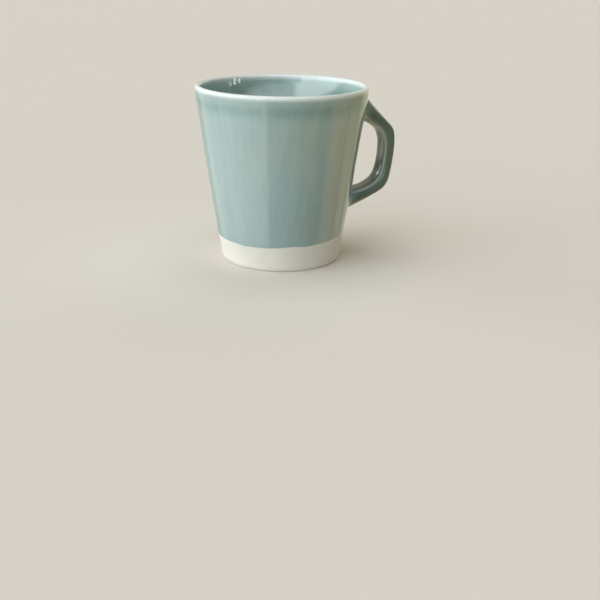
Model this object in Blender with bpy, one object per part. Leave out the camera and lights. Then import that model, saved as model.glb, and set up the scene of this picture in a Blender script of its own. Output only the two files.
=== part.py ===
"""Tapered porcelain teacup with a strap handle, glazed inside and out above a bare foot band.

The cup stands on the XY plane with its axis on Z, and its handle points along +X.
Sizes below are in millimetres. They become metres where a mesh is made.
"""

import math

import bmesh
import bpy
from mathutils import Vector

MM = 0.001

# The finished outside: a cone that bulges a little and ends in a round lip.
HEIGHT = 89.0
CONE_RADIUS = 30.9  # the wall's cone carried down to the ground
TAPER = 0.1472  # growth of the radius for each millimetre of height
BELLY = 0.25  # how far the wall bulges at half height
LIP_RADIUS = 1.4  # half the lip's thickness
LIP_MIDDLE = 42.28  # radius of the lip's crown
LIP_LEVEL = HEIGHT - LIP_RADIUS
SHOULDER = 84.0  # the wall turns more upright from here to the lip

# The finished inside: a cone, a round corner and a flat floor.
FLOOR = 6.5
CORNER_RADIUS = 9.0
INNER_TAPER = 0.168

# The foot: a flat underside and a soft edge below the bare band.
FOOT_FLAT_RADIUS = 29.3
FOOT_ROUND_HEIGHT = 4.0

# The coats, which stand apart from the body by a gap.
COAT = 0.4
GAP = 0.3
PROUD = 0.25  # how far the outer coat stands out over the bare band
GLAZE_LINE = 14.5  # mean height of the outer coat's lower edge
GLAZE_TILT = Vector((0.039, 0.039))  # rise of that edge for each millimetre along X and Y

# The handle: a strap swept along a path in the XZ plane, from the upper root to the lower.
# Each station is (x, z, half the strap's thickness there).
HANDLE_STATIONS = (
    (41.7, 76.7, 5.8),
    (49.4, 71.1, 4.0),
    (53.7, 67.4, 3.5),
    (56.4, 63.7, 3.8),
    (57.4, 56.9, 3.2),
    (56.4, 46.4, 3.0),
    (53.6, 37.7, 3.5),
    (46.3, 32.8, 3.3),
    (36.0, 29.2, 4.6),
)
HANDLE_HALF_WIDTH = 7.6
HANDLE_SQUARENESS = 2.8  # exponent of the section's superellipse
ROOT_DEPTH = 8.0  # how far the uncut strap runs on into the wall

# Mesh fineness.
SEGMENTS = 64
WALL_STEPS = 4
LIP_STEPS = 4
CORNER_STEPS = 4
FOOT_STEPS = 3
STRAP_STEPS = 3
STRAP_SIDES = 24


def ceramic(name, colour, roughness):
    """A Principled material for a fired surface."""
    material = bpy.data.materials.new(name)
    material.use_nodes = True
    shader = material.node_tree.nodes["Principled BSDF"]
    shader.inputs["Base Color"].default_value = (*colour, 1.0)
    shader.inputs["Roughness"].default_value = roughness
    shader.inputs["Metallic"].default_value = 0.0
    material.diffuse_color = (*colour, 1.0)
    return material


def add_object(name, mesh, parent, material=None):
    """Link a mesh into the scene as a smooth-shaded object."""
    item = bpy.data.objects.new(name, mesh)
    bpy.context.scene.collection.objects.link(item)
    item.parent = parent
    if material:
        mesh.materials.append(material)
    mesh.shade_smooth()
    mesh.set_sharp_from_angle(angle=math.radians(40.0))
    return item


def add_cutter(name, mesh, parent):
    """Link a mesh that only cuts other objects."""
    cutter = add_object(name, mesh, parent)
    cutter.hide_render = True
    cutter.display_type = "WIRE"
    return cutter


def cut_with(item, cutter):
    """Cut one object by another with a Boolean modifier."""
    modifier = item.modifiers.new("cut", "BOOLEAN")
    modifier.operation = "DIFFERENCE"
    modifier.solver = "EXACT"
    modifier.object = cutter


def skin_loops(name, loops, ends_meet):
    """Join loops of points into a closed mesh, with flat caps unless the ends meet."""
    bm = bmesh.new()
    rows = [[bm.verts.new(point * MM) for point in loop] for loop in loops]
    pairs = list(zip(rows, rows[1:]))
    if ends_meet:
        pairs.append((rows[-1], rows[0]))
    else:
        bm.faces.new(rows[0])
        bm.faces.new(rows[-1])
    for row, following in pairs:
        for i, vertex in enumerate(row):
            j = (i + 1) % len(row)
            bm.faces.new((vertex, row[j], following[j], following[i]))
    bmesh.ops.recalc_face_normals(bm, faces=bm.faces)
    mesh = bpy.data.meshes.new(name)
    bm.to_mesh(mesh)
    bm.free()
    return mesh


# Turned pieces are lists of rings (radius, height). The outer ones lean with the glaze line.


def wall_radius(height):
    """Radius of the glazed outside at a height below the shoulder."""
    return CONE_RADIUS + TAPER * height + BELLY * math.sin(math.pi * height / HEIGHT)


def lean_share(height):
    """How much of the glaze line's tilt a level of the outer wall takes."""
    if height < GLAZE_LINE:
        return max(height, 0.0) / GLAZE_LINE
    return max(LIP_LEVEL - height, 0.0) / (LIP_LEVEL - GLAZE_LINE)


def ring_loop(ring, leans):
    """The points of one ring around the axis."""
    radius, height = ring
    points = []
    for step in range(SEGMENTS):
        angle = 2.0 * math.pi * step / SEGMENTS
        across = Vector((math.cos(angle), math.sin(angle)))
        rise = lean_share(height) * radius * GLAZE_TILT.dot(across) if leans else 0.0
        reach = across * (radius + TAPER * rise)
        points.append(Vector((reach.x, reach.y, height + rise)))
    return points


def wall_rings(inset, lowest):
    """Rings up the outer wall, from a lowest level to the shoulder."""
    heights = [lowest + (SHOULDER - lowest) * i / WALL_STEPS for i in range(WALL_STEPS + 1)]
    return [(wall_radius(height) - inset, height) for height in heights]


def lip_rings(inset, start, end):
    """Rings over the lip, between two angles counted from the outside."""
    radius = LIP_RADIUS - inset
    rings = []
    for i in range(LIP_STEPS + 1):
        angle = math.radians(start + (end - start) * i / LIP_STEPS)
        rings.append((LIP_MIDDLE + radius * math.cos(angle), LIP_LEVEL + radius * math.sin(angle)))
    return rings


def basin_rings(inset):
    """Rings round the corner between the inner wall and the floor, which ends the row."""
    slope = math.atan(INNER_TAPER)
    centre_height = FLOOR + CORNER_RADIUS
    touch_height = centre_height - CORNER_RADIUS * math.sin(slope)
    inner_lip = LIP_MIDDLE - LIP_RADIUS
    touch_radius = inner_lip - INNER_TAPER * (LIP_LEVEL - touch_height)
    centre_radius = touch_radius - CORNER_RADIUS * math.cos(slope)
    radius = CORNER_RADIUS + inset
    rings = []
    for i in range(CORNER_STEPS + 1):
        angle = -slope - (math.pi / 2 - slope) * i / CORNER_STEPS
        rings.append((centre_radius + radius * math.cos(angle), centre_height + radius * math.sin(angle)))
    return rings


def foot_rings():
    """Rings from the flat underside round the foot's soft edge."""
    overhang = wall_radius(FOOT_ROUND_HEIGHT) - PROUD - FOOT_FLAT_RADIUS
    rings = []
    for i in range(FOOT_STEPS + 1):
        angle = math.pi / 2 * i / FOOT_STEPS
        level = FOOT_ROUND_HEIGHT * (1.0 - math.cos(angle))
        rings.append((FOOT_FLAT_RADIUS + overhang * math.sin(angle), level))
    return rings


def make_cup_body(parent):
    """The porcelain under the coats, with its bare band and its flat underside."""
    inset = COAT + GAP
    ledge = GLAZE_LINE - GAP
    outside = foot_rings()
    outside.append((wall_radius(ledge) - PROUD, ledge))
    outside += wall_rings(inset, ledge)
    inside = lip_rings(inset, 0.0, 180.0) + basin_rings(inset)
    loops = [ring_loop(ring, True) for ring in outside]
    loops += [ring_loop(ring, False) for ring in inside]
    material = ceramic("bare_porcelain", (0.80, 0.78, 0.74), 0.6)
    return add_object("cup_body", skin_loops("cup_body", loops, False), parent, material)


def lip_split():
    """Half the angle that the gap between the two coats takes at the lip's crown."""
    return math.degrees(0.5 * GAP / (LIP_RADIUS - COAT))


def make_outer_glaze(parent, material):
    """The dipped coat, a sleeve from the glaze line to the lip's crown."""
    crown = 90.0 - lip_split()
    front = wall_rings(0.0, GLAZE_LINE) + lip_rings(0.0, 0.0, crown)
    back = wall_rings(COAT, GLAZE_LINE) + lip_rings(COAT, 0.0, crown)
    rings = front + back[::-1]
    mesh = skin_loops("outer_glaze", [ring_loop(ring, True) for ring in rings], True)
    return add_object("outer_glaze", mesh, parent, material)


def make_inner_glaze(parent, material):
    """The poured coat, a liner from the lip's crown to the floor."""
    crown = 90.0 + lip_split()
    front = lip_rings(0.0, crown, 180.0) + basin_rings(0.0)
    back = lip_rings(COAT, crown, 180.0) + basin_rings(COAT)
    rings = front[::-1] + back
    mesh = skin_loops("inner_glaze", [ring_loop(ring, False) for ring in rings], False)
    return add_object("inner_glaze", mesh, parent, material)


# The handle.


def smooth_path(stations):
    """Points of a Catmull-Rom curve through the stations, each (x, z, half thickness)."""
    knots = [Vector(station) for station in stations]
    knots = [2 * knots[0] - knots[1], *knots, 2 * knots[-1] - knots[-2]]
    points = []
    for a, b, c, d in zip(knots, knots[1:], knots[2:], knots[3:]):
        for step in range(STRAP_STEPS):
            t = step / STRAP_STEPS
            bend = (2 * a - 5 * b + 4 * c - d) * t * t + (3 * b - a - 3 * c + d) * t**3
            points.append(0.5 * (2 * b + (c - a) * t + bend))
    points.append(knots[-2])
    return points


def strap_section(centre, heading, half_thickness, half_width):
    """A superellipse across the path, with its width along Y."""
    outward = Vector((-heading.y, 0.0, heading.x))
    power = 2.0 / HANDLE_SQUARENESS
    points = []
    for step in range(STRAP_SIDES):
        angle = 2.0 * math.pi * step / STRAP_SIDES
        across = math.copysign(abs(math.cos(angle)) ** power, math.cos(angle))
        along = math.copysign(abs(math.sin(angle)) ** power, math.sin(angle))
        side = Vector((0.0, across * half_width, 0.0))
        points.append(Vector((centre.x, 0.0, centre.y)) + side + outward * (along * half_thickness))
    return points


def strap_mesh(name, margin):
    """The uncut strap, running on into the wall at both roots, with a margin all round."""
    path = smooth_path(HANDLE_STATIONS)
    loops = []
    for i, point in enumerate(path):
        before = path[max(i - 1, 0)]
        after = path[min(i + 1, len(path) - 1)]
        heading = (after.xy - before.xy).normalized()
        centre = point.xy
        section = (point.z + margin, HANDLE_HALF_WIDTH + margin)
        if i == 0:
            loops.append(strap_section(centre - heading * ROOT_DEPTH, heading, *section))
        loops.append(strap_section(centre, heading, *section))
        if i == len(path) - 1:
            loops.append(strap_section(centre + heading * ROOT_DEPTH, heading, *section))
    return skin_loops(name, loops, False)


def make_handle(parent, material):
    """The strap handle, its roots cut to the wall that they butt against."""
    handle = add_object("handle", strap_mesh("handle", 0.0), parent, material)
    core = [(0.0, 0.0)] + wall_rings(COAT, 0.0)
    loops = [ring_loop(ring, True) for ring in core[1:]]
    loops.append(ring_loop((wall_radius(HEIGHT) - COAT, HEIGHT), True))
    wall = add_cutter("wall_for_roots", skin_loops("wall_for_roots", loops, False), parent)
    cut_with(handle, wall)
    return handle


def cut_root_openings(outer_glaze, parent):
    """Open the outer coat where the handle's roots reach the body."""
    clearance = add_cutter("root_clearance", strap_mesh("root_clearance", GAP), parent)
    cut_with(outer_glaze, clearance)


def main():
    for item in list(bpy.data.objects):
        bpy.data.objects.remove(item, do_unlink=True)
    cup = bpy.data.objects.new("teacup", None)
    bpy.context.scene.collection.objects.link(cup)
    outside_celadon = ceramic("outer_celadon", (0.33, 0.45, 0.43), 0.12)
    inside_celadon = ceramic("inner_celadon", (0.45, 0.60, 0.60), 0.12)
    handle_celadon = ceramic("handle_celadon", (0.24, 0.34, 0.33), 0.12)
    make_cup_body(cup)
    make_inner_glaze(cup, inside_celadon)
    outer_glaze = make_outer_glaze(cup, outside_celadon)
    make_handle(cup, handle_celadon)
    cut_root_openings(outer_glaze, cup)


main()
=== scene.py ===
"""The looks of a celadon teacup: fired surfaces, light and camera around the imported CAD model.

The cup's axis is Z, its handle points along +X, and it stands on the XY plane.
Shapes are worked out in millimetres and become metres where a mesh is made.
"""

import math

import bmesh
import bpy
from mathutils import Matrix, Vector


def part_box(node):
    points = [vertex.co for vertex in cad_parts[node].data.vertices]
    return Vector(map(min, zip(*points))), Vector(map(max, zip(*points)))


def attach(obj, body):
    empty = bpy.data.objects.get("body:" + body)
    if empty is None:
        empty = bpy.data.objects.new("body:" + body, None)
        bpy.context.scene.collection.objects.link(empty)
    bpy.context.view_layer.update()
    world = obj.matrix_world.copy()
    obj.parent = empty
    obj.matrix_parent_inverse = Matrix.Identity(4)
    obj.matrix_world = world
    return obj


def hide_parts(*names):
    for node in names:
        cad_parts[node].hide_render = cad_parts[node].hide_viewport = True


MM = 0.001
TURN = 2.0 * math.pi

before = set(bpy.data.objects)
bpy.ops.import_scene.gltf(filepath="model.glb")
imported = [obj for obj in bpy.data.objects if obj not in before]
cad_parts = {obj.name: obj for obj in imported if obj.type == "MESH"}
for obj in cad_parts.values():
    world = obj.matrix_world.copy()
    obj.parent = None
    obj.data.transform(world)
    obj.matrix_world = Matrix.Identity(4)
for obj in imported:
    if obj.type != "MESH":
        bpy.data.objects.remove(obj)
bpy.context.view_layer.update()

# Sizes that the frame gives.
COAT_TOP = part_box("outer_glaze")[1].z / MM  # crown of the lip
LIP_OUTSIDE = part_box("outer_glaze")[1].x / MM  # outer radius of the lip
COAT = 0.4  # thickness of the CAD's coats
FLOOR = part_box("inner_glaze")[0].z / MM + COAT  # finished floor inside

# Sizes that the CAD's turned profile has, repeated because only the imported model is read.
CONE_RADIUS = 30.9  # the wall's cone carried down to the ground
TAPER = 0.1472
BELLY = 0.25
LIP_RADIUS = 1.4
INNER_TAPER = 0.168
CORNER_RADIUS = 9.0
FOOT_FLAT_RADIUS = 29.3
FOOT_ROUND_HEIGHT = 4.0
PROUD = 0.25  # how far the coat stands out over the bare porcelain
GLAZE_LINE = 14.5
GLAZE_TILT = Vector((0.039, 0.039))

LIP_MIDDLE = LIP_OUTSIDE - LIP_RADIUS
LIP_LEVEL = COAT_TOP - LIP_RADIUS

# The handle's path, as the CAD sweeps it: (x, z, half the strap's thickness).
HANDLE_STATIONS = (
    (41.7, 76.7, 5.8),
    (49.4, 71.1, 4.0),
    (53.7, 67.4, 3.5),
    (56.4, 63.7, 3.8),
    (57.4, 56.9, 3.2),
    (56.4, 46.4, 3.0),
    (53.6, 37.7, 3.5),
    (46.3, 32.8, 3.3),
    (36.0, 29.2, 4.6),
)
HANDLE_HALF_WIDTH = 7.6
HANDLE_SQUARENESS = 2.8
ROOT_FILLET = 2.4

# Where the shape of the wall's rows changes, and what is hidden behind them.
FREE_START = 19.0  # the outer coat's rows follow its edge below this height and are level above it
LIP_TURN = 78.0  # the wall leaves its cone here and turns up to the lip
COAT_BACK = 0.45  # depth of the coats' hidden backs
CORE_DEPTH = 0.3  # depth of the body's core behind the inner coat
ROOT_BURY = 0.35  # how far the handle's ends go into the wall

# Mesh fineness.
AROUND = 384
STRAP_SIDES = 112
STRAP_LENGTHS = 150
STRAP_STEPS = 16


# ---------------------------------------------------------------- mesh helpers


def ease(value, start, end):
    """0 below start, 1 above end, and a smooth step between."""
    t = min(max((value - start) / (end - start), 0.0), 1.0)
    return t * t * (3.0 - 2.0 * t)


def bump_at(value, centre, width):
    """A bell of height 1 around a centre."""
    return math.exp(-(((value - centre) / width) ** 2))


def turn_gap(angle, centre_degrees):
    """Signed angle in degrees from a direction round the axis."""
    return (math.degrees(angle) - centre_degrees + 180.0) % 360.0 - 180.0


def grid_mesh(name, rows, marks, ends_meet=False):
    """A mesh from rows of points in millimetres, each row a closed loop, with a mark per point.

    Marks are (thin, pool): how thin or how deep the glaze lies there. On the handle the thin mark's pale
    edges are partly painted highlight, and the pool mark fades the handle's painted shade near its roots.
    The ends get flat caps unless the last row joins the first.
    """
    bm = bmesh.new()
    loops = [[bm.verts.new(point * MM) for point in row] for row in rows]
    pairs = list(zip(loops, loops[1:]))
    if ends_meet:
        pairs.append((loops[-1], loops[0]))
    else:
        bm.faces.new(loops[0])
        bm.faces.new(loops[-1])
    for loop, following in pairs:
        for i, vertex in enumerate(loop):
            j = (i + 1) % len(loop)
            bm.faces.new((vertex, loop[j], following[j], following[i]))
    bmesh.ops.recalc_face_normals(bm, faces=bm.faces)
    mesh = bpy.data.meshes.new(name)
    bm.to_mesh(mesh)
    bm.free()
    flat = [mark for row in marks for mark in row]
    for k, label in enumerate(("thin", "pool")):
        layer = mesh.attributes.new(label, "FLOAT", "POINT")
        layer.data.foreach_set("value", [mark[k] for mark in flat])
    return mesh


def add_piece(name, mesh, material, slot, *nodes):
    """Link a mesh as a smooth piece that stands for CAD nodes and takes its place on the body."""
    mesh.materials.append(material)
    mesh.shade_smooth()
    mesh.set_sharp_from_angle(angle=math.radians(50.0))
    piece = bpy.data.objects.new(name, mesh)
    bpy.context.scene.collection.objects.link(piece)
    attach(piece, "root")
    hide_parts(*nodes)
    return piece


# ---------------------------------------------------------------- the fired cup's surfaces


def wall_radius(height):
    """Radius of the glazed outside at a height below the shoulder."""
    return CONE_RADIUS + TAPER * height + BELLY * math.sin(math.pi * height / COAT_TOP)


def ripple(angle, height):
    """How far the fired wall strays from a true cone: slow warp, and faint upright facets."""
    warp = 0.05 * math.sin(2 * angle + 0.7) + 0.03 * math.sin(3 * angle + 2.1)
    drift = 0.25 * math.sin(height / 21.0)
    facets = 0.010 * math.sin(9 * angle + 1.3 + drift) + 0.006 * math.sin(17 * angle + 0.4 - drift)
    facets += 0.003 * math.sin(31 * angle + 2.0 + 2 * drift)
    rings = 0.006 * math.sin(height * 0.9 + 0.6 * math.sin(angle))
    return warp * height / COAT_TOP + (facets + rings) * ease(height, 2.0, 12.0)


def lip_sway(angle):
    """The lip isn't quite level after firing."""
    return 0.10 * math.sin(2 * angle + 1.1) + 0.05 * math.sin(3 * angle - 0.6)


def glaze_edge(angle):
    """Height of the dipped coat's lower edge round the cup."""
    across = Vector((math.cos(angle), math.sin(angle)))
    level = GLAZE_LINE + GLAZE_TILT.dot(across) * wall_radius(GLAZE_LINE)
    sway = 0.10 * math.sin(3 * angle + 0.4) + 0.07 * math.sin(7 * angle + 1.9)
    sway += 0.04 * math.sin(13 * angle) + 0.025 * math.sin(29 * angle + 0.8)
    step = 0.38 * bump_at(turn_gap(angle, -95.0), 0.0, 7.0)
    step -= 0.22 * bump_at(turn_gap(angle, -83.0), 0.0, 5.0)
    nub = 0.30 * bump_at(turn_gap(angle, -151.0), 0.0, 5.0)
    return level + sway + step + nub


def coat_depth(above_edge):
    """Thickness of the coat over the bare surface, rounded at its edge and a little fat above it."""
    rounding = 0.5
    t = min(max(above_edge, 0.0) / rounding, 1.0)
    return PROUD * math.sqrt(1.0 - (1.0 - t) ** 2) + 0.05 * bump_at(above_edge, 1.3, 0.9)


def shoulder_point(t):
    """The wall's last stretch, from the cone at t = 0 to the side of the lip at t = 1."""
    rise = LIP_LEVEL - LIP_TURN
    start, end = wall_radius(LIP_TURN), LIP_OUTSIDE
    slope = TAPER + BELLY * math.pi / COAT_TOP * math.cos(math.pi * LIP_TURN / COAT_TOP)
    radius = start * (1 + 2 * t) * (1 - t) ** 2 + end * t * t * (3 - 2 * t)
    radius += slope * rise * t * (1 - t) ** 2
    return radius, LIP_TURN + rise * t


def outer_profile():
    """(radius, height, lip angle) up the glazed outside, from just above the edge to the lap."""
    points = []
    height = FREE_START
    while height < LIP_TURN - 0.5:
        points.append((wall_radius(height), height, 0.0))
        height += 1.5
    for i in range(12):
        points.append((*shoulder_point(i / 12), 0.0))
    for i in range(27):
        angle = math.radians(4.4 * i)
        points.append((LIP_MIDDLE, LIP_LEVEL, angle))
    return points


def thin_at_lip(height_below_crown):
    """How thin the glaze lies near the lip: it runs off the crown."""
    return 1.0 - ease(height_below_crown, 0.4, 3.1)


def pool_below_lip(height_below_crown):
    """How deep the glaze lies in the band where it gathers under the lip."""
    return ease(height_below_crown, 3.0, 7.0) * (1.0 - ease(height_below_crown, 7.5, 13.0))


def outer_coat_mesh():
    """The dipped coat: its rounded edge, the wall and the lip, and a plain back inside the body."""
    angles = [TURN * i / AROUND for i in range(AROUND)]
    edges = [glaze_edge(angle) for angle in angles]
    rows, marks = [], []

    def add_row(shape, mark):
        rows.append([shape(angle, edge) for angle, edge in zip(angles, edges)])
        marks.append([mark(angle, edge) for angle, edge in zip(angles, edges)])

    def on_wall(angle, height, radius):
        reach = radius + ripple(angle, height)
        return Vector((reach * math.cos(angle), reach * math.sin(angle), height))

    above = [0.0, 0.02, 0.06, 0.12, 0.2, 0.32, 0.5, 0.8, 1.1, 1.5, 2.0, 2.6, 3.3]

    def edge_row(rise):
        def shape(angle, edge):
            height = edge + rise
            sink = 0.04 if rise == 0.0 else 0.0
            radius = wall_radius(height) - PROUD + coat_depth(rise) - sink
            return on_wall(angle, height, radius)

        thin, pool = 0.9 * (1.0 - ease(rise, 0.0, 0.35)), 0.12 * bump_at(rise, 1.4, 1.1)
        add_row(shape, lambda angle, edge: (thin, pool))

    for rise in above:
        edge_row(rise)
    for radius, height, lip_angle in outer_profile():
        if lip_angle == 0.0 and height < LIP_LEVEL - 1e-6:
            below = COAT_TOP - height

            def shape(angle, edge, radius=radius, height=height):
                lift = lip_sway(angle) * ease(height, 55.0, LIP_LEVEL)
                return on_wall(angle, height + lift, radius)

            add_row(shape, lambda a, e, b=below: (thin_at_lip(b), pool_below_lip(b)))
        else:
            sink = 0.03 * ease(math.degrees(lip_angle), 74.0, 88.0)
            rho = LIP_RADIUS - sink
            out, up = rho * math.cos(lip_angle), rho * math.sin(lip_angle)

            def shape(angle, edge, out=out, up=up):
                return on_wall(angle, LIP_LEVEL + up + lip_sway(angle), LIP_MIDDLE + out)

            below = LIP_RADIUS - up
            add_row(shape, lambda a, e, b=below: (thin_at_lip(b), pool_below_lip(b)))
    for height in (86.0, 70.0, 50.0, 30.0, FREE_START):
        radius = wall_radius(height) - COAT_BACK
        add_row(lambda a, e, h=height, r=radius: on_wall(a, h, r), lambda a, e: (0.0, 0.0))
    add_row(
        lambda a, e: on_wall(a, e + 0.6, wall_radius(e + 0.6) - COAT_BACK),
        lambda a, e: (0.0, 0.0),
    )
    return grid_mesh("outer_coat", rows, marks, ends_meet=True)


def basin_centre():
    """Middle of the round corner between the inner wall and the floor, and the wall's slope angle."""
    slope = math.atan(INNER_TAPER)
    height = FLOOR + CORNER_RADIUS
    touch_height = height - CORNER_RADIUS * math.sin(slope)
    touch_radius = LIP_MIDDLE - LIP_RADIUS - INNER_TAPER * (LIP_LEVEL - touch_height)
    return touch_radius - CORNER_RADIUS * math.cos(slope), height, slope


def inner_wall(t):
    """(radius, height) down the finished inner wall, from the lip at t = 0 to the corner at t = 1.

    The wall leans half as much at the lip as lower down.
    """
    corner_radius, corner_height, slope = basin_centre()
    end_height = corner_height - CORNER_RADIUS * math.sin(slope)
    end_radius = corner_radius + CORNER_RADIUS * math.cos(slope)
    start_radius = LIP_MIDDLE - LIP_RADIUS * math.cos(slope / 2)
    start_height = LIP_LEVEL + LIP_RADIUS * math.sin(slope / 2)
    height = start_height + (end_height - start_height) * t
    reach = 4.0
    upright = 0.5 * INNER_TAPER * reach * (1.0 - math.exp((height - start_height) / reach)) * (1.0 - t)
    return start_radius + (end_radius - start_radius) * t + upright, height


def inner_coat_mesh():
    """The poured coat: from under the outer coat's lap at the lip, down the wall to the floor."""
    angles = [TURN * i / AROUND for i in range(AROUND)]
    rows, marks = [], []

    def add_ring(radius, height, sway, thin, pool):
        row = []
        for angle in angles:
            reach = radius + 0.6 * ripple(angle, height)
            lift = lip_sway(angle) * sway
            row.append(Vector((reach * math.cos(angle), reach * math.sin(angle), height + lift)))
        rows.append(row)
        marks.append([(thin, pool)] * AROUND)

    corner_radius, corner_height, slope = basin_centre()
    for radius in (0.5, 6.0, 12.0, corner_radius):
        add_ring(radius, FLOOR - COAT_BACK, 0.0, 0.0, 0.0)
    for i in range(1, 7):
        angle = -(math.pi / 2) + (math.pi / 2 - slope) * i / 6
        radius = corner_radius + (CORNER_RADIUS + COAT_BACK) * math.cos(angle)
        height = corner_height + (CORNER_RADIUS + COAT_BACK) * math.sin(angle)
        add_ring(radius, height, 0.0, 0.0, 0.0)
    for t in (0.8, 0.6, 0.4, 0.2, 0.02):
        radius, height = inner_wall(t)
        add_ring(radius + COAT_BACK, height, ease(height, 55.0, LIP_LEVEL), 0.0, 0.0)
    for i in range(24):
        degrees = 70.0 + (110.0 - math.degrees(slope) / 2) * i / 23
        angle = math.radians(degrees)
        rho = LIP_RADIUS - 0.04 * (1.0 - ease(degrees, 70.0, 84.0))
        up = rho * math.sin(angle)
        below = LIP_RADIUS - up
        add_ring(LIP_MIDDLE + rho * math.cos(angle), LIP_LEVEL + up, 1.0, thin_at_lip(below), 0.0)
    steps = 46
    for i in range(1, steps + 1):
        radius, height = inner_wall(i / steps)
        below = COAT_TOP - height
        sway = ease(height, 55.0, LIP_LEVEL)
        add_ring(radius, height, sway, thin_at_lip(below), 0.6 * pool_below_lip(below))
    for i in range(1, 17):
        angle = -slope - (math.pi / 2 - slope) * i / 16
        radius = corner_radius + CORNER_RADIUS * math.cos(angle)
        height = corner_height + CORNER_RADIUS * math.sin(angle)
        add_ring(radius, height, 0.0, 0.0, 0.9 * ease(i, 2, 14))
    for radius in (16.0, 12.0, 8.0, 4.0, 1.0):
        add_ring(radius, FLOOR, 0.0, 0.0, 0.9)
    return grid_mesh("inner_coat", rows, marks)


def body_mesh():
    """The porcelain: flat underside, soft foot edge, bare band, and a plain core inside the coats."""
    angles = [TURN * i / AROUND for i in range(AROUND)]
    rows = []

    def add_ring(radius, height, ripples):
        row = []
        for angle in angles:
            reach = radius + ripples * ripple(angle, height)
            row.append(Vector((reach * math.cos(angle), reach * math.sin(angle), height)))
        rows.append(row)

    for radius in (1.0, 8.0, 16.0, 22.0, 26.0, 28.5):
        add_ring(radius, 0.0, 0.0)
    overhang = wall_radius(FOOT_ROUND_HEIGHT) - PROUD - FOOT_FLAT_RADIUS
    for i in range(25):
        angle = math.pi / 2 * i / 24
        level = FOOT_ROUND_HEIGHT * (1.0 - math.cos(angle))
        add_ring(FOOT_FLAT_RADIUS + overhang * math.sin(angle), level, ease(level, 0.5, 4.0))
    height = FOOT_ROUND_HEIGHT
    while height < 20.0:
        height += 0.25
        turning = 0.010 * math.sin(height * 5.2) + 0.006 * math.sin(height * 11.0 + 1.0)
        add_ring(wall_radius(height) - PROUD + turning, height, 1.0)
    for height in (40.0, 60.0, 78.0, 86.0):
        add_ring(wall_radius(height) - PROUD - 0.05, height, 1.0)
    add_ring(LIP_MIDDLE, 88.0, 0.0)
    corner_radius, corner_height, slope = basin_centre()
    for t in (0.02, 0.2, 0.4, 0.6, 0.8, 1.0):
        radius, height = inner_wall(t)
        add_ring(radius + CORE_DEPTH, height, 0.6)
    for i in range(1, 7):
        angle = -slope - (math.pi / 2 - slope) * i / 6
        reach = CORNER_RADIUS + CORE_DEPTH
        add_ring(corner_radius + reach * math.cos(angle), corner_height + reach * math.sin(angle), 0.0)
    for radius in (12.0, 6.0, 1.0):
        add_ring(radius, FLOOR - CORE_DEPTH, 0.0)
    marks = [[(0.0, 0.0)] * AROUND for _ in rows]
    return grid_mesh("porcelain_body", rows, marks)


# ---------------------------------------------------------------- the handle


def smooth_path(stations, steps):
    """Points of a Catmull-Rom curve through the stations."""
    knots = [Vector(station) for station in stations]
    knots = [2 * knots[0] - knots[1], *knots, 2 * knots[-1] - knots[-2]]
    points = []
    for a, b, c, d in zip(knots, knots[1:], knots[2:], knots[3:]):
        for step in range(steps):
            t = step / steps
            bend = (2 * a - 5 * b + 4 * c - d) * t * t + (3 * b - a - 3 * c + d) * t**3
            points.append(0.5 * (2 * b + (c - a) * t + bend))
    points.append(knots[-2])
    return points


def strap_lines():
    """For each side of the strap, its (point, outward normal) all along the path and into the wall."""
    path = smooth_path(HANDLE_STATIONS, STRAP_STEPS)
    headings = []
    for i in range(len(path)):
        before, after = path[max(i - 1, 0)], path[min(i + 1, len(path) - 1)]
        headings.append((after.xy - before.xy).normalized())
    run_on = [(path[0], headings[0], -d) for d in (10.0, 8.0, 6.0, 4.0, 2.0)]
    run_on += [(point, heading, 0.0) for point, heading in zip(path, headings)]
    run_on += [(path[-1], headings[-1], d) for d in (2.0, 4.0, 6.0, 8.0, 10.0)]
    power = 2.0 / HANDLE_SQUARENESS
    lines = []
    for side in range(STRAP_SIDES):
        angle = TURN * side / STRAP_SIDES
        across = math.copysign(abs(math.cos(angle)) ** power, math.cos(angle))
        along = math.copysign(abs(math.sin(angle)) ** power, math.sin(angle))
        line = []
        for point, heading, shift in run_on:
            outward = Vector((-heading.y, 0.0, heading.x))
            centre = point.xy + heading * shift
            place = Vector((centre.x, across * HANDLE_HALF_WIDTH, centre.y))
            place += outward * (along * point.z)
            lean = outward * (abs(along) ** (HANDLE_SQUARENESS - 1) * math.copysign(1, along) / point.z)
            lean.y = abs(across) ** (HANDLE_SQUARENESS - 1) * math.copysign(1, across) / HANDLE_HALF_WIDTH
            line.append((place, lean.normalized()))
        lines.append((line, angle))
    return lines


def wall_gap(point):
    """Distance of a point from the glazed wall, outside positive."""
    radial = math.hypot(point.x, point.y)
    return (radial - wall_radius(point.z)) * math.cos(math.atan(TAPER))


def wall_normal(point):
    """Outward normal of the wall's cone beside a point."""
    flat = Vector((point.x, point.y, 0.0)).normalized()
    return (flat - Vector((0.0, 0.0, TAPER))).normalized()


def along_line(line, position):
    """Interpolated (point, normal) at a fractional index of a line."""
    index = min(int(position), len(line) - 2)
    t = position - index
    (p0, n0), (p1, n1) = line[index], line[index + 1]
    return p0.lerp(p1, t), n0.lerp(n1, t).normalized()


def wall_crossing(line, start, step):
    """Fractional index where a line, followed from the middle of the strap, meets the wall."""
    index = start
    while wall_gap(line[index + step][0]) > 0.0:
        index += step
    low, high = float(index), float(index + step)
    for _ in range(30):
        middle = 0.5 * (low + high)
        if wall_gap(along_line(line, middle)[0]) > 0.0:
            low = middle
        else:
            high = middle
    return high


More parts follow.
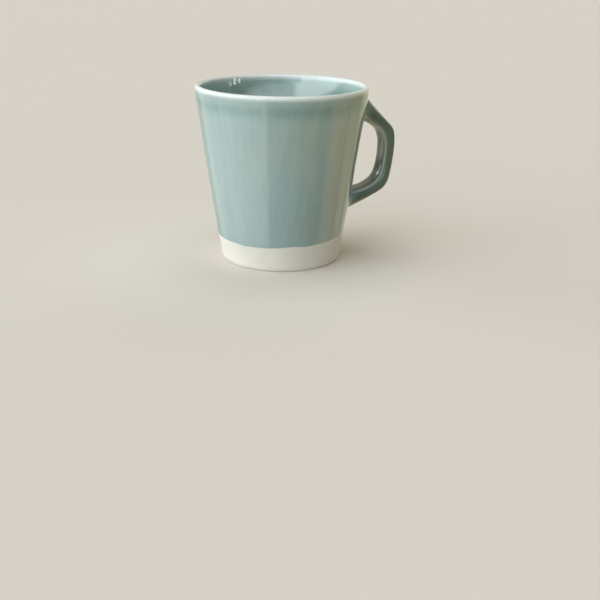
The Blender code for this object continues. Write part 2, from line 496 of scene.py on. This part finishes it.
def handle_mesh():
    """The strap with its roots flowing into the wall in a small fillet."""
    columns, mark_columns = [], []
    spacing = [0.5 - 0.5 * math.cos(math.pi * i / STRAP_LENGTHS) for i in range(STRAP_LENGTHS + 1)]
    for line, angle in strap_lines():
        middle = len(line) // 2
        top = wall_crossing(line, middle, -1)
        bottom = wall_crossing(line, middle, 1)
        column, mark_column = [], []
        # Pale marks along the strap's four edges: partly glaze running thin, partly painted highlight.
        edge_thin_and_highlight = bump_at(abs(math.cos(angle)) - abs(math.sin(angle)), 0.0, 0.30)
        for u in spacing:
            point, normal = along_line(line, top + (bottom - top) * u)
            gap = min(max(wall_gap(point), 0.0), ROOT_FILLET)
            away = wall_normal(point)
            spread = (normal - away * normal.dot(away)).normalized()
            grow = ROOT_FILLET - math.sqrt(ROOT_FILLET**2 - (ROOT_FILLET - gap) ** 2)
            column.append(point + spread * grow)
            # near_root goes into the pool mark. There it fades the handle's painted shade back to the
            # wall's glaze colour at the roots.
            near_root = 1.0 - ease(wall_gap(point), 0.3, 6.0)
            mark_column.append((0.8 * edge_thin_and_highlight * (1.0 - near_root), near_root))
        for end in (0, -1):
            sunk = column[end] - wall_normal(column[end]) * ROOT_BURY
            column.insert(0 if end == 0 else len(column), sunk)
            mark_column.insert(0 if end == 0 else len(mark_column), (0.0, 1.0))
        columns.append(column)
        mark_columns.append(mark_column)
    rows = [list(row) for row in zip(*columns)]
    marks = [list(row) for row in zip(*mark_columns)]
    return grid_mesh("strap_handle", rows, marks)


# ---------------------------------------------------------------- materials


class Graph:
    """A material's node tree with short calls to add and join nodes."""

    def __init__(self, name):
        self.material = bpy.data.materials.new(name)
        self.material.use_nodes = True
        self.tree = self.material.node_tree
        self.shader = self.tree.nodes["Principled BSDF"]
        self.place = self.add("ShaderNodeTexCoord").outputs["Object"]

    def add(self, kind, **settings):
        node = self.tree.nodes.new(kind)
        for key, value in settings.items():
            setattr(node, key, value)
        return node

    def feed(self, socket, value):
        """Put a value, or another node's output, into an input."""
        if isinstance(value, bpy.types.NodeSocket):
            self.tree.links.new(value, socket)
        else:
            socket.default_value = value

    def stretch(self, along_z):
        """Object coordinates squeezed along Z, so that a texture runs in upright streaks."""
        node = self.add("ShaderNodeMapping")
        self.feed(node.inputs["Vector"], self.place)
        node.inputs["Scale"].default_value = (1.0, 1.0, along_z)
        return node.outputs["Vector"]

    def noise(self, size_mm, detail=2.0, roughness=0.5, vector=None):
        """Noise from 0 to 1 whose features are about size_mm across."""
        node = self.add("ShaderNodeTexNoise")
        self.feed(node.inputs["Vector"], vector or self.place)
        node.inputs["Scale"].default_value = 1.0 / (size_mm * MM)
        node.inputs["Detail"].default_value = detail
        node.inputs["Roughness"].default_value = roughness
        return node.outputs["Fac"]

    def spots(self, spacing_mm, size):
        """1 inside small scattered dots and 0 outside; size is a share of the spacing."""
        node = self.add("ShaderNodeTexVoronoi", feature="F1")
        self.feed(node.inputs["Vector"], self.place)
        node.inputs["Scale"].default_value = 1.0 / (spacing_mm * MM)
        return self.remap(node.outputs["Distance"], 0.6 * size, size, 1.0, 0.0)

    def remap(self, value, low, high, to_low=0.0, to_high=1.0):
        """A clamped smooth step from one range to another."""
        node = self.add("ShaderNodeMapRange", interpolation_type="SMOOTHSTEP")
        self.feed(node.inputs["Value"], value)
        node.inputs["From Min"].default_value = low
        node.inputs["From Max"].default_value = high
        node.inputs["To Min"].default_value = to_low
        node.inputs["To Max"].default_value = to_high
        return node.outputs["Result"]

    def math(self, operation, *values):
        node = self.add("ShaderNodeMath", operation=operation)
        for socket, value in zip(node.inputs, values):
            self.feed(socket, value)
        return node.outputs["Value"]

    def mix(self, share, first, second):
        """Mix two colours by a share."""
        node = self.add("ShaderNodeMix", data_type="RGBA")
        self.feed(node.inputs["Factor"], share)
        for socket, colour in (("A", first), ("B", second)):
            target = next(i for i in node.inputs if i.name == socket and i.type == "RGBA")
            self.feed(target, (*colour, 1.0) if isinstance(colour, tuple) else colour)
        return next(o for o in node.outputs if o.type == "RGBA")

    def mark(self, name):
        """A value that the mesh carries at each point."""
        return self.add("ShaderNodeAttribute", attribute_name=name).outputs["Fac"]

    def bump(self, height, distance_mm, normal=None):
        node = self.add("ShaderNodeBump")
        node.inputs["Distance"].default_value = distance_mm * MM
        self.feed(node.inputs["Height"], height)
        if normal:
            self.feed(node.inputs["Normal"], normal)
        return node.outputs["Normal"]

    def finish(self, colour, roughness, normal):
        self.feed(self.shader.inputs["Base Color"], colour)
        self.feed(self.shader.inputs["Roughness"], roughness)
        self.feed(self.shader.inputs["Normal"], normal)
        return self.material


def celadon(name, body, deep, thin, streaks):
    """Glossy celadon: mottled, streaked down the wall, deep where it pools and pale where it runs thin. On
    the handle the body colour is painted shade, and the pale edge colour is partly glaze running thin and
    partly painted highlight.
    """
    g = Graph(name)
    upright = g.stretch(0.06)
    cloud = g.noise(16.0, detail=3.0)
    streak = g.noise(2.6, detail=3.0, roughness=0.6, vector=upright)
    fine = g.noise(0.5, detail=3.0, roughness=0.65)
    grey = tuple(0.86 * channel for channel in body)
    warm = (1.05 * body[0], body[1], 0.93 * body[2])
    colour = g.mix(g.remap(cloud, 0.35, 0.65, 0.0, 0.8), body, warm)
    colour = g.mix(g.remap(streak, 0.35, 0.7, 0.0, streaks), colour, grey)
    colour = g.mix(g.remap(fine, 0.3, 0.75, 0.0, 0.25), colour, grey)
    drips = g.noise(4.0, detail=2.0, vector=g.stretch(0.3))
    pooled = g.math("MULTIPLY", g.mark("pool"), g.remap(drips, 0.25, 0.65, 0.55, 1.0))
    colour = g.mix(pooled, colour, deep)
    ragged = g.math("MULTIPLY", g.mark("thin"), g.remap(g.noise(1.1, detail=3.0), 0.15, 0.6, 0.75, 1.0))
    colour = g.mix(ragged, colour, thin)
    colour = g.mix(g.math("MULTIPLY", g.spots(4.4, 0.035), 0.5), colour, (0.16, 0.13, 0.09))
    colour = g.mix(g.math("MULTIPLY", g.spots(7.1, 0.03), 0.4), colour, thin)
    roughness = g.remap(g.noise(3.0, detail=3.0), 0.3, 0.7, 0.05, 0.10)
    g.shader.inputs["IOR"].default_value = 1.52
    skin = g.bump(g.noise(2.4, detail=1.0), 0.012)
    skin = g.bump(streak, 0.010, skin)
    skin = g.bump(g.spots(7.1, 0.03), 0.02, skin)
    return g.finish(colour, roughness, skin)


def bare_porcelain():
    """Matt unglazed porcelain: a fine sugary grain, faint turning lines and a few specks."""
    g = Graph("bare_porcelain")
    level = g.stretch(9.0)
    cloud = g.noise(9.0, detail=3.0)
    grain = g.noise(0.22, detail=2.0, roughness=0.6)
    lines = g.noise(4.0, detail=3.0, vector=level)
    colour = g.mix(g.remap(cloud, 0.3, 0.7), (0.70, 0.68, 0.635), (0.66, 0.64, 0.595))
    colour = g.mix(g.remap(grain, 0.35, 0.75, 0.0, 0.35), colour, (0.64, 0.61, 0.55))
    colour = g.mix(g.math("MULTIPLY", g.spots(4.3, 0.05), 0.6), colour, (0.30, 0.22, 0.15))
    roughness = g.remap(grain, 0.3, 0.7, 0.52, 0.68)
    skin = g.bump(grain, 0.03)
    skin = g.bump(lines, 0.05, skin)
    return g.finish(colour, roughness, skin)


def plain_paint(name, colour):
    """One colour, for the floor."""
    material = bpy.data.materials.new(name)
    material.use_nodes = True
    shader = material.node_tree.nodes["Principled BSDF"]
    shader.inputs["Base Color"].default_value = (*colour, 1.0)
    shader.inputs["Roughness"].default_value = 0.9
    shader.inputs["Specular IOR Level"].default_value = 0.1
    return material


# ---------------------------------------------------------------- camera and light


def make_camera():
    """The camera, level apart from a small roll, looking down at the cup from in front."""
    data = bpy.data.cameras.new("camera")
    data.sensor_width = 36.0
    data.lens = 57.22
    data.clip_start, data.clip_end = 0.01, 50.0
    camera = bpy.data.objects.new("camera", data)
    bpy.context.scene.collection.objects.link(camera)
    azimuth, elevation, roll = math.radians(-17.416), math.radians(20.027), math.radians(0.894)
    camera.location = Vector((-135.3, -466.9, 151.3)) * MM
    back = Vector(
        (
            math.sin(azimuth) * math.cos(elevation),
            -math.cos(azimuth) * math.cos(elevation),
            math.sin(elevation),
        )
    )
    aim = (-back).to_track_quat("-Z", "Y").to_matrix()
    camera.rotation_euler = (aim @ Matrix.Rotation(roll, 3, "Z")).to_euler()
    bpy.context.scene.camera = camera


NEAR_FLOOR = 0.075  # radius in metres of the disc that the cup stands on
FAR_FLOOR = 8.0  # outer radius in metres of the ring round it
FLOOR_COLOUR = (0.80, 0.745, 0.69)
BACKDROP = (0.69, 0.65, 0.575)  # what the camera sees above the floor
FRONT = -17.4  # direction from which the lights' bearings are counted, in degrees from -Y


def make_floor():
    """A plain pale floor, in two pieces that look like one.

    Only the near disc shades the cup from below. The rest isn't mirrored in the glaze and sends
    no light up, so that the panels below the horizon light the wall as if it stood on a high stand.
    """
    paint = plain_paint("floor_paint", FLOOR_COLOUR)
    near = ring_object("floor_near", 0.0, NEAR_FLOOR, paint)
    far = ring_object("floor_far", NEAR_FLOOR, FAR_FLOOR, paint)
    near.visible_glossy = False
    far.visible_glossy = False
    far.visible_diffuse = False
    far.visible_shadow = False


def ring_object(name, inner, outer, material):
    """A flat ring on the ground, or a disc where the inner radius is 0."""
    bm = bmesh.new()
    count = 96
    turns = [TURN * i / count for i in range(count)]
    directions = [Vector((math.cos(turn), math.sin(turn), 0.0)) for turn in turns]
    rim = [bm.verts.new(outer * direction) for direction in directions]
    if inner > 0.0:
        edge = [bm.verts.new(inner * direction) for direction in directions]
        for i in range(count):
            j = (i + 1) % count
            bm.faces.new((edge[i], rim[i], rim[j], edge[j]))
    else:
        bm.faces.new(rim)
    mesh = bpy.data.meshes.new(name)
    bm.to_mesh(mesh)
    bm.free()
    mesh.materials.append(material)
    ring = bpy.data.objects.new(name, mesh)
    bpy.context.scene.collection.objects.link(ring)
    return ring


# Soft boxes all round the cup: bearing from, to, how soft its sides are, elevation from, to,
# how soft its upper and lower ends are, radiance. Bearings run clockwise seen from above,
# starting at FRONT; all in degrees.
PANELS = (
    ("room", -180, 180, 1, -95, 95, 1, (0.12, 0.11, 0.07)),
    ("window", -100, -49, 0.8, 0.5, 7.3, 0.8, (5.0, 5.15, 5.25)),
    ("window end", -128, -100, 0.8, 0.5, 7.3, 0.8, (2.8, 2.85, 2.8)),
    ("window side", -48, -27, 0.8, 0.5, 7.3, 0.8, (4.9, 5.2, 5.35)),
    ("window edge", -28, -4, 7, 1.5, 8, 7, (2.0, 2.45, 2.5)),
    ("window top", -130, -18, 6, 7.3, 13.5, 0.8, (6.6, 6.8, 6.9)),
    ("window head", -125, -56, 5, 14, 20, 3, (4.0, 4.1, 4.2)),
    ("front strip", -14, 60, 9, 8.5, 13, 1, (3.2, 3.5, 3.5)),
    ("upper sky", -80, -20, 3, 14, 32, 3, (0.6, 0.7, 0.75)),
    ("sky", -85, -10, 10, 32, 62, 10, (1.0, 1.15, 1.2)),
    ("ceiling", -180, 180, 5, 62, 95, 5, (1.55, 1.55, 1.6)),
    ("sill", -92, -19, 3, -42, -12, 3, (1.58, 1.54, 1.55)),
    ("sill end", -118, -92, 4, -42, -12, 4, (1.08, 1.0, 0.97)),
    ("left ground", -125, -20, 8, -90, -42, 8, (0.7, 0.6, 0.5)),
    ("front wall", -19, 32, 2, -45, 3, 2, (0.23, 0.23, 0.2)),
    ("corner wall", 37, 72, 1.5, -50, -5, 4, (0.18, 0.14, 0.07)),
    ("front ground", -20, 68, 8, -90, -42, 8, (1.25, 0.85, 0.35)),
    ("frame", 74, 78, 1, -50, -14, 8, (0.8, 0.8, 0.65)),
    ("board", 79, 106, 1.2, -50, -14, 8, (1.1, 0.74, 0.36)),
    ("second board", 108, 130, 1.2, -50, -14, 8, (1.08, 0.84, 0.48)),
    ("right ground", 68, 128, 8, -90, -55, 8, (3.0, 2.35, 1.0)),
    ("far window", 65, 69, 0.6, 2.8, 4.6, 0.5, (7.0, 7.4, 7.4)),
    ("far window", 73, 77, 0.6, 2.8, 4.6, 0.5, (9.0, 9.4, 9.4)),
    ("far window", 81, 86, 0.6, 2.8, 4.6, 0.5, (9.0, 9.4, 9.4)),
    ("back wall right", 132, 180, 5, -50, 50, 5, (0.72, 0.7, 0.52)),
    ("back wall left", -180, -145, 5, -50, -4, 5, (0.45, 0.42, 0.34)),
    ("left wall", -141, -118, 5, -50, -4, 5, (1.02, 0.95, 0.86)),
    ("back glow", -180, -145, 6, -4, 40, 8, (0.55, 0.5, 0.42)),
    ("side glow", -142, -106, 5, 2, 30, 5, (0.6, 0.58, 0.52)),
)


def make_world():
    """A studio of soft panels. The camera sees a plain backdrop in their place."""
    world = bpy.data.worlds.new("studio")
    bpy.context.scene.world = world
    world.use_nodes = True
    tree = world.node_tree
    tree.nodes.clear()

    def add(kind, inputs=(), **settings):
        node = tree.nodes.new(kind)
        for key, value in settings.items():
            setattr(node, key, value)
        for socket, value in zip(node.inputs, inputs):
            if isinstance(value, bpy.types.NodeSocket):
                tree.links.new(value, socket)
            elif value is not None:
                socket.default_value = value
        return node.outputs[0]

    def number(operation, *inputs):
        return add("ShaderNodeMath", inputs, operation=operation)

    direction = tree.nodes.new("ShaderNodeTexCoord").outputs["Generated"]
    turn = math.radians(-FRONT)
    turned = add("ShaderNodeVectorRotate", (direction, None, None, turn), rotation_type="Z_AXIS")
    axes = tree.nodes.new("ShaderNodeSeparateXYZ")
    tree.links.new(turned, axes.inputs[0])
    x, y, z = axes.outputs
    bearing = number("DEGREES", number("ARCTAN2", x, number("MULTIPLY", y, -1.0)))
    elevation = number("DEGREES", number("ARCSINE", z))

    def within(value, low, high, softness):
        """1 between two angles and 0 outside, with soft ends."""
        off = number("ABSOLUTE", number("SUBTRACT", value, (low + high) / 2))
        half = (high - low) / 2
        ramp = (off, half - softness, half + softness, 1.0, 0.0)
        return add("ShaderNodeMapRange", ramp, interpolation_type="SMOOTHSTEP")

    total = None
    for _, left, right, side_softness, low, high, end_softness, radiance in PANELS:
        mask = within(elevation, low, high, end_softness)
        if right - left < 360:
            mask = number("MULTIPLY", mask, within(bearing, left, right, side_softness))
        glow = add("ShaderNodeVectorMath", (radiance,), operation="SCALE")
        tree.links.new(mask, glow.node.inputs["Scale"])
        total = glow if total is None else add("ShaderNodeVectorMath", (total, glow), operation="ADD")
    light = add("ShaderNodeBackground", (total, 1.0))
    plain = add("ShaderNodeBackground", ((*BACKDROP, 1.0), 1.0))
    seen = tree.nodes.new("ShaderNodeLightPath").outputs["Is Camera Ray"]
    surface = add("ShaderNodeMixShader", (seen, light, plain))
    result = tree.nodes.new("ShaderNodeOutputWorld")
    tree.links.new(surface, result.inputs["Surface"])


def main():
    bpy.context.scene.view_settings.view_transform = "Standard"
    celadon_green = (0.280, 0.386, 0.392)
    deep_green = (0.19, 0.30, 0.29)
    thin_white = (0.79, 0.84, 0.85)
    bare = bare_porcelain()
    outer = celadon("outer_celadon", celadon_green, deep_green, thin_white, 0.5)
    inner = celadon("inner_celadon", (0.35, 0.495, 0.48), deep_green, thin_white, 0.3)
    # The handle's glaze colour is painted shade: a darker copy of the wall's celadon, standing in for the
    # shadow the cup casts on the handle. Its pool mark fades it back to celadon_green at the roots. Its
    # pale edge colour is partly glaze running thin and partly painted highlight.
    strap_painted_shade_glaze = celadon("handle_celadon", (0.105, 0.158, 0.132), celadon_green, (0.66, 0.70, 0.62), 0.3)
    add_piece("porcelain_body", body_mesh(), bare, "bare_porcelain", "cup_body")
    add_piece("outer_coat", outer_coat_mesh(), outer, "outer_celadon", "outer_glaze")
    add_piece("inner_coat", inner_coat_mesh(), inner, "inner_celadon", "inner_glaze")
    add_piece("strap_handle", handle_mesh(), strap_painted_shade_glaze, "handle_celadon", "handle")
    make_floor()
    make_world()
    make_camera()


main()
